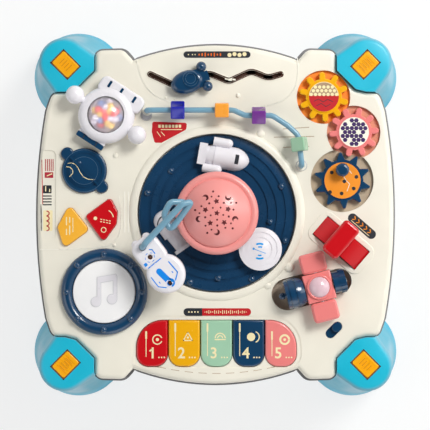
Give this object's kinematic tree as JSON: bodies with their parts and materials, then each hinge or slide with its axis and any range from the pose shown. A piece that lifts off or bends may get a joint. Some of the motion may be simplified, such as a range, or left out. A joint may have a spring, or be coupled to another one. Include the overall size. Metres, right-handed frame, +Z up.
{
  "type": "activity table",
  "caption": "Low toddler activity table: square play top with turntable and lamp, meshing gears, piano keys, drum, sliding beads, buttons and a rocker, on flared legs.",
  "frame": {"origin": "on the floor under the middle of the table, between the four feet", "axes": "+X to the child's right, +Y away from the child who sits at the keys, +Z up"},
  "size_m": [0.458, 0.458, 0.2725],
  "materials": {
    "cream_plastic": "satin moulded",
    "tray_plastic": "satin moulded",
    "cyan_plastic": "gloss moulded",
    "orange_plastic": "gloss moulded",
    "navy_plastic": "gloss moulded",
    "lamp_pink": "satin, printed cut-outs",
    "white_plastic": "gloss moulded",
    "red_plastic": "gloss moulded",
    "yellow_plastic": "gloss moulded",
    "mint_plastic": "gloss moulded",
    "pink_plastic": "gloss moulded",
    "blue_bead": "gloss moulded",
    "orange_bead": "gloss moulded",
    "purple_bead": "gloss moulded",
    "mint_bead": "gloss moulded",
    "wire_blue": "satin moulded",
    "well_colours": "printed insert",
    "clear_dome": "clear polished",
    "pearl_lens": "milky",
    "steel": "plain",
    "soft_grey_rubber": "matt",
    "board_green": "solder mask",
    "grey_plastic": "matt",
    "rattle_beads": "mixed colours",
    "silicone_pad": "milky"
  },
  "bodies": {
    "base": {"top_shell": "cream_plastic", "bottom_tray": "tray_plastic", "battery_door": "tray_plastic", "screws": "steel", "springs": "steel", "circuit_boards": "board_green", "speaker": "grey_plastic", "key_contact_strip": "soft_grey_rubber", "pivot_pins": "steel", "leg_rear_left": "cyan_plastic", "leg_rear_right": "cyan_plastic", "leg_front_left": "cyan_plastic", "leg_front_right": "cyan_plastic", "leg_base_caps": "cyan_plastic", "foot_pads": "soft_grey_rubber", "centre_post": "cream_plastic", "turntable_bearing": "grey_plastic", "bead_wire": "wire_blue", "gear_wells": "well_colours", "drum_ring": "navy_plastic", "joint_box": "pink_plastic", "joint_lens": "pearl_lens"},
    "turntable": {"turntable": "navy_plastic", "rocket": "white_plastic", "capsule": "white_plastic"},
    "dish": {"dish": "white_plastic"},
    "lamp": {"lamp_base": "lamp_pink", "lamp_shade": "lamp_pink", "arm": "wire_blue", "shuttle": "white_plastic"},
    "helmet": {"helmet_body": "white_plastic", "helmet_dome": "clear_dome", "helmet_beads": "rattle_beads"},
    "bead_blue": {"bead_blue": "blue_bead"},
    "bead_orange": {"bead_orange": "orange_bead"},
    "bead_purple": {"bead_purple": "purple_bead"},
    "bead_mint": {"bead_mint": "mint_bead"},
    "gear_yellow": {"gear_yellow": "yellow_plastic"},
    "gear_pink": {"gear_pink": "pink_plastic"},
    "gear_navy": {"gear_navy": "navy_plastic"},
    "ship_slider": {"ship_slider": "navy_plastic"},
    "key_1_red": {"key_1_red": "red_plastic"},
    "key_2_yellow": {"key_2_yellow": "yellow_plastic"},
    "key_3_mint": {"key_3_mint": "mint_plastic"},
    "key_4_navy": {"key_4_navy": "navy_plastic"},
    "key_5_pink": {"key_5_pink": "pink_plastic"},
    "drum_pad": {"drum_pad": "silicone_pad"},
    "planet_button": {"planet_button": "navy_plastic"},
    "yellow_button": {"yellow_button": "yellow_plastic"},
    "red_button": {"red_button": "red_plastic"},
    "power_switch": {"power_switch": "navy_plastic"},
    "lever": {"lever": "red_plastic"},
    "roller_left": {"roller_left": "navy_plastic"},
    "roller_right": {"roller_right": "navy_plastic"},
    "wing_rear": {"wing_rear": "pink_plastic"},
    "wing_front": {"wing_front": "pink_plastic"},
    "latch_button_rear_left": {"latch_button_rear_left": "orange_plastic"},
    "latch_button_rear_right": {"latch_button_rear_right": "orange_plastic"},
    "latch_button_front_left": {"latch_button_front_left": "orange_plastic"},
    "latch_button_front_right": {"latch_button_front_right": "orange_plastic"}
  },
  "joints": [
    {"name": "turntable_spin", "type": "hinge", "parent": "base", "child": "turntable", "pos_m": [0.0015, 0.0015, 0.2045], "axis": [0, 0, 1], "continuous": true},
    {"name": "dish_spin", "type": "hinge", "parent": "turntable", "child": "dish", "pos_m": [0.05, -0.0385, 0.213], "axis": [0, 0, 1], "continuous": true},
    {"name": "lamp_spin", "type": "hinge", "parent": "base", "child": "lamp", "pos_m": [0.0015, 0.0015, 0.229], "axis": [0, 0, 1], "continuous": true},
    {"name": "helmet_swivel", "type": "hinge", "parent": "base", "child": "helmet", "pos_m": [-0.1215, 0.1105, 0.215], "axis": [0, 0, 1], "range_deg": [-4, 15]},
    {"name": "bead_blue_slide", "type": "slide", "parent": "base", "child": "bead_blue", "axis": [1, 0, 0], "range_m": [-0.02, 0.016]},
    {"name": "bead_orange_slide", "type": "slide", "parent": "base", "child": "bead_orange", "axis": [1, 0, 0], "range_m": [-0.014, 0.0015]},
    {"name": "bead_purple_slide", "type": "slide", "parent": "base", "child": "bead_purple", "axis": [1, 0, 0], "range_m": [-0.004, 0.0037]},
    {"name": "bead_mint_slide", "type": "slide", "parent": "base", "child": "bead_mint", "axis": [0.1186, -0.9929, 0], "range_m": [0, 0.008]},
    {"name": "gear_navy_spin", "type": "hinge", "parent": "base", "child": "gear_navy", "pos_m": [0.1418, 0.038, 0.21], "axis": [0, 0, 1], "continuous": true},
    {"name": "gear_pink_spin", "type": "hinge", "parent": "base", "child": "gear_pink", "pos_m": [0.1547, 0.092, 0.21], "axis": [0, 0, 1], "continuous": true},
    {"name": "gear_yellow_spin", "type": "hinge", "parent": "base", "child": "gear_yellow", "pos_m": [0.121, 0.1315, 0.21], "axis": [0, 0, 1], "continuous": true},
    {"name": "ship_slide", "type": "slide", "parent": "base", "child": "ship_slider", "axis": [0.9511, 0.309, 0], "range_m": [-0.0055, 0.018]},
    {"name": "key_1_red_press", "type": "hinge", "parent": "base", "child": "key_1_red", "pos_m": [-0.0712, -0.114, 0.2025], "axis": [1, 0, 0], "range_deg": [0, 3.5], "stiffness_Nm_per_rad": 0.5, "springref_deg": -3.44},
    {"name": "key_2_yellow_press", "type": "hinge", "parent": "base", "child": "key_2_yellow", "pos_m": [-0.0351, -0.114, 0.2025], "axis": [1, 0, 0], "range_deg": [0, 3.5], "stiffness_Nm_per_rad": 0.5, "springref_deg": -3.44},
    {"name": "key_3_mint_press", "type": "hinge", "parent": "base", "child": "key_3_mint", "pos_m": [0.001, -0.114, 0.2025], "axis": [1, 0, 0], "range_deg": [0, 3.5], "stiffness_Nm_per_rad": 0.5, "springref_deg": -3.44},
    {"name": "key_4_navy_press", "type": "hinge", "parent": "base", "child": "key_4_navy", "pos_m": [0.0371, -0.114, 0.2025], "axis": [1, 0, 0], "range_deg": [0, 3.5], "stiffness_Nm_per_rad": 0.5, "springref_deg": -3.44},
    {"name": "key_5_pink_press", "type": "hinge", "parent": "base", "child": "key_5_pink", "pos_m": [0.0732, -0.114, 0.2025], "axis": [1, 0, 0], "range_deg": [0, 3.5], "stiffness_Nm_per_rad": 0.5, "springref_deg": -3.44},
    {"name": "drum_press", "type": "slide", "parent": "base", "child": "drum_pad", "axis": [0, 0, -1], "range_m": [0, 0.0015], "stiffness_N_per_m": 350, "springref_m": -0.004},
    {"name": "planet_button_press", "type": "slide", "parent": "base", "child": "planet_button", "axis": [0, 0, -1], "range_m": [0, 0.0025], "stiffness_N_per_m": 200, "springref_m": -0.005},
    {"name": "yellow_button_press", "type": "slide", "parent": "base", "child": "yellow_button", "axis": [0, 0, -1], "range_m": [0, 0.0025], "stiffness_N_per_m": 200, "springref_m": -0.005},
    {"name": "red_button_press", "type": "slide", "parent": "base", "child": "red_button", "axis": [0, 0, -1], "range_m": [0, 0.0025], "stiffness_N_per_m": 200, "springref_m": -0.005},
    {"name": "power_switch_slide", "type": "slide", "parent": "base", "child": "power_switch", "axis": [-0.7071, -0.7071, 0], "range_m": [0, 0.009]},
    {"name": "lever_rock", "type": "hinge", "parent": "base", "child": "lever", "pos_m": [0.1407, -0.0318, 0.176], "axis": [0.6494, 0.7604, 0], "range_deg": [-7.5, 16.5]},
    {"name": "roller_left_spin", "type": "hinge", "parent": "base", "child": "roller_left", "pos_m": [0.115, -0.0805, 0.218], "axis": [0.9681, 0.2504, 0], "continuous": true},
    {"name": "roller_right_spin", "type": "hinge", "parent": "base", "child": "roller_right", "pos_m": [0.115, -0.0805, 0.218], "axis": [0.9681, 0.2504, 0], "continuous": true},
    {"name": "wing_rear_twist", "type": "hinge", "parent": "base", "child": "wing_rear", "pos_m": [0.115, -0.0805, 0.223], "axis": [-0.2504, 0.9681, 0], "range_deg": [-12, 12]},
    {"name": "wing_front_twist", "type": "hinge", "parent": "base", "child": "wing_front", "pos_m": [0.115, -0.0805, 0.223], "axis": [-0.2504, 0.9681, 0], "range_deg": [-12, 12]},
    {"name": "latch_rear_left_press", "type": "slide", "parent": "base", "child": "latch_button_rear_left", "axis": [0, 0, -1], "range_m": [0, 0.0025], "stiffness_N_per_m": 300, "springref_m": -0.004},
    {"name": "latch_rear_right_press", "type": "slide", "parent": "base", "child": "latch_button_rear_right", "axis": [0, 0, -1], "range_m": [0, 0.0025], "stiffness_N_per_m": 300, "springref_m": -0.004},
    {"name": "latch_front_left_press", "type": "slide", "parent": "base", "child": "latch_button_front_left", "axis": [0, 0, -1], "range_m": [0, 0.0025], "stiffness_N_per_m": 300, "springref_m": -0.004},
    {"name": "latch_front_right_press", "type": "slide", "parent": "base", "child": "latch_button_front_right", "axis": [0, 0, -1], "range_m": [0, 0.0025], "stiffness_N_per_m": 300, "springref_m": -0.004}
  ],
  "couplings": [
    {"joint": "gear_pink_spin", "follows": "gear_navy_spin", "ratio": -1},
    {"joint": "gear_yellow_spin", "follows": "gear_navy_spin", "ratio": 1}
  ]
}
